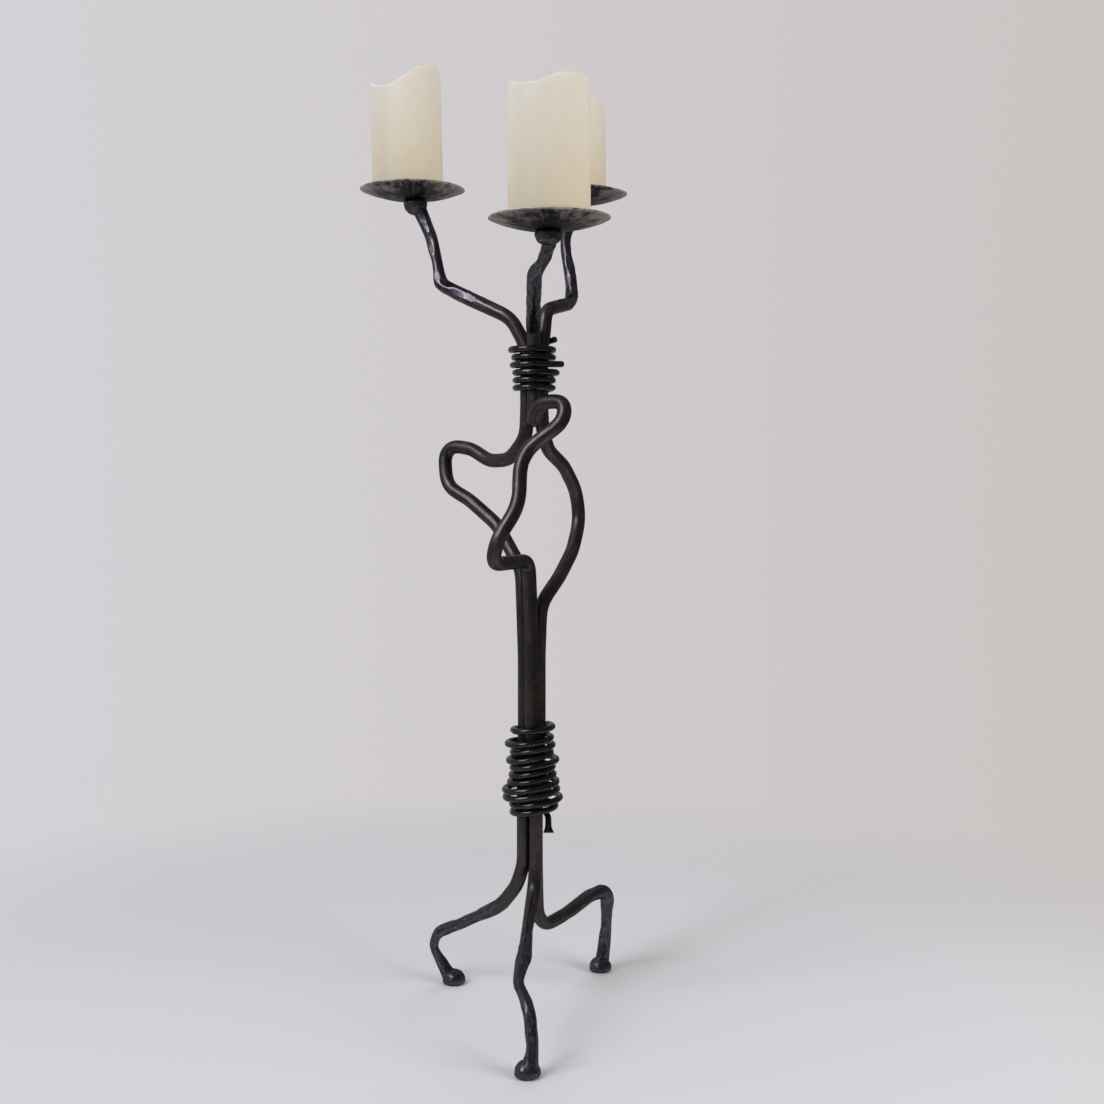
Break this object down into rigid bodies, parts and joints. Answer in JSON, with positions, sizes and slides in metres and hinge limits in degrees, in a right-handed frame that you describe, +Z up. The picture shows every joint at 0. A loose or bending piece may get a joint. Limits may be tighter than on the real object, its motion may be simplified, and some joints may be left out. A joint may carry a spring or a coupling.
{
  "type": "torchere candle stand",
  "caption": "Forged iron floor candle stand: bars wired into a bundle swing out in free-form bows, legs and arms that carry dished drip pans, prickets and pillar candles.",
  "frame": {"origin": "on the floor, under the middle of the stand's bounding box", "axes": "+Z up, +X to the right and +Y to the back, as seen from the front"},
  "size_m": [0.307, 0.441, 1.0553],
  "materials": {
    "iron": "forged, brushed and waxed, satin",
    "wax": "ivory candle wax, soft satin",
    "cotton": "braided wick"
  },
  "bodies": {
    "stand": {"bar_left": "iron", "bar_front": "iron", "bar_rear": "iron", "upper_tie_first": "iron", "upper_tie_second": "iron", "lower_tie": "iron", "pan_left": "iron", "pan_front": "iron", "pan_rear": "iron", "pricket_left": "iron", "pricket_front": "iron", "pricket_rear": "iron"},
    "left_candle": {"candle_left": "wax", "wick_left": "cotton"},
    "front_candle": {"candle_front": "wax", "wick_front": "cotton"},
    "rear_candle": {"candle_rear": "wax", "wick_rear": "cotton"}
  },
  "joints": [
    {"name": "left_candle_lift", "type": "slide", "parent": "stand", "child": "left_candle", "axis": [0, 0, 1], "range_m": [0, 0.12]},
    {"name": "front_candle_lift", "type": "slide", "parent": "stand", "child": "front_candle", "axis": [0, 0, 1], "range_m": [0, 0.12]},
    {"name": "rear_candle_lift", "type": "slide", "parent": "stand", "child": "rear_candle", "axis": [0, 0, 1], "range_m": [0, 0.12]}
  ]
}
